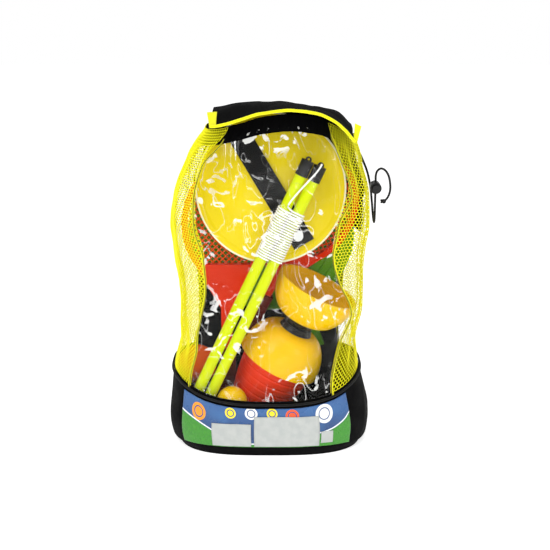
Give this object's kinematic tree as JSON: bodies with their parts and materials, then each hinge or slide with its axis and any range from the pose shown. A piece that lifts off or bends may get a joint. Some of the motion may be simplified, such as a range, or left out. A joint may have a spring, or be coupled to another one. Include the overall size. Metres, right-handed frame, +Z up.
{
  "type": "sports set in a net backpack",
  "caption": "Children's sports toys packed in a standing backpack with a clear film front, yellow net sides, black base and a hinged hood.",
  "frame": {"origin": "middle of the base's flat underside", "axes": "+Z up, -Y towards the clear front, +X to the viewer's right"},
  "size_m": [0.2569, 0.1739, 0.3968],
  "materials": {
    "black_fabric": "woven nylon, slightly shiny",
    "black_piping": "folded edge piping",
    "label_print": null,
    "sticker_paper": "blank matt label",
    "clear_film": "clear soft film, creased and glossy",
    "yellow_net": "open knitted net",
    "yellow_binding": "folded binding tape",
    "black_webbing": "flat woven webbing",
    "black_plastic": "moulded, fine texture",
    "black_cord": "braided elastic cord",
    "spring_steel": "drawn wire",
    "yellow_plastic": "moulded gloss",
    "cream_plastic": "moulded rim",
    "pile_fabric": "short loop pile",
    "lime_plastic": "extruded tube, satin",
    "white_string": "twisted string",
    "cup_yellow": "moulded gloss",
    "hub_black": "moulded gloss",
    "axle_steel": "plated",
    "red_plastic": "moulded gloss",
    "ball_yellow": "moulded, faint seam",
    "orange_foam": "felted cover",
    "red_net": "moulded lattice",
    "grip_rubber": "ribbed grip",
    "green_plastic": "moulded, turned grooves"
  },
  "bodies": {
    "bag": {"base_tub": "black_fabric", "base_piping": "black_piping", "label_panel": "label_print", "blank_stickers": "sticker_paper", "window_film": "clear_film", "net_left": "yellow_net", "net_right": "yellow_net", "back_panel": "black_fabric", "mouth_collar": "black_fabric", "grab_loop": "black_webbing", "strap_left": "black_webbing", "strap_right": "black_webbing", "cord_anchor": "black_plastic", "draw_cord": "black_cord", "catch_disc": "yellow_plastic", "catch_disc_rim": "cream_plastic", "catch_disc_pile": "pile_fabric", "catch_disc_strap": "black_webbing", "catch_disc_strap_pads": "black_plastic", "stick_left": "lime_plastic", "stick_right": "lime_plastic", "stick_top_caps": "black_plastic", "stick_bottom_plugs": "lime_plastic", "stick_string": "white_string", "ribbed_cup": "red_plastic", "play_ball": "ball_yellow", "soft_ball": "orange_foam", "racket_left": "red_plastic", "racket_left_net": "red_net", "racket_left_grip": "grip_rubber", "racket_right": "red_plastic", "racket_right_net": "red_net", "racket_right_grip": "grip_rubber", "green_bat": "green_plastic"},
    "hood": {"hood": "black_fabric", "hood_binding": "yellow_binding", "hood_tabs": "yellow_net"},
    "adjuster_left": {"adjuster_left": "black_plastic"},
    "adjuster_right": {"adjuster_right": "black_plastic"},
    "cord_lock": {"cord_lock_body": "black_plastic", "cord_lock_spring": "spring_steel"},
    "cord_button": {"cord_lock_button": "black_plastic"},
    "diabolo": {"diabolo_cup_top": "cup_yellow", "diabolo_cup_bottom": "cup_yellow", "diabolo_hubs": "hub_black", "diabolo_axle": "axle_steel"}
  },
  "joints": [
    {"name": "hood_hinge", "type": "hinge", "parent": "bag", "child": "hood", "pos_m": [0, 0.047, 0.377], "axis": [-1, 0, 0], "range_deg": [0, 150]},
    {"name": "diabolo_spin", "type": "hinge", "parent": "bag", "child": "diabolo", "pos_m": [0.035, -0.0156, 0.138], "axis": [0.4406, -0.0645, 0.8954], "continuous": true},
    {"name": "adjuster_left_slide", "type": "slide", "parent": "bag", "child": "adjuster_left", "axis": [0, 0, 1], "range_m": [0, 0.06]},
    {"name": "adjuster_right_slide", "type": "slide", "parent": "bag", "child": "adjuster_right", "axis": [0, 0, 1], "range_m": [0, 0.06]},
    {"name": "cord_lock_slide", "type": "slide", "parent": "bag", "child": "cord_lock", "axis": [0, 0, 1], "range_m": [-0.024, 0]},
    {"name": "cord_button_press", "type": "slide", "parent": "cord_lock", "child": "cord_button", "axis": [0, 1, 0], "range_m": [0, 0.0035], "stiffness_N_per_m": 300, "springref_m": -0.002, "deforming": ["cord_lock_spring"]}
  ]
}
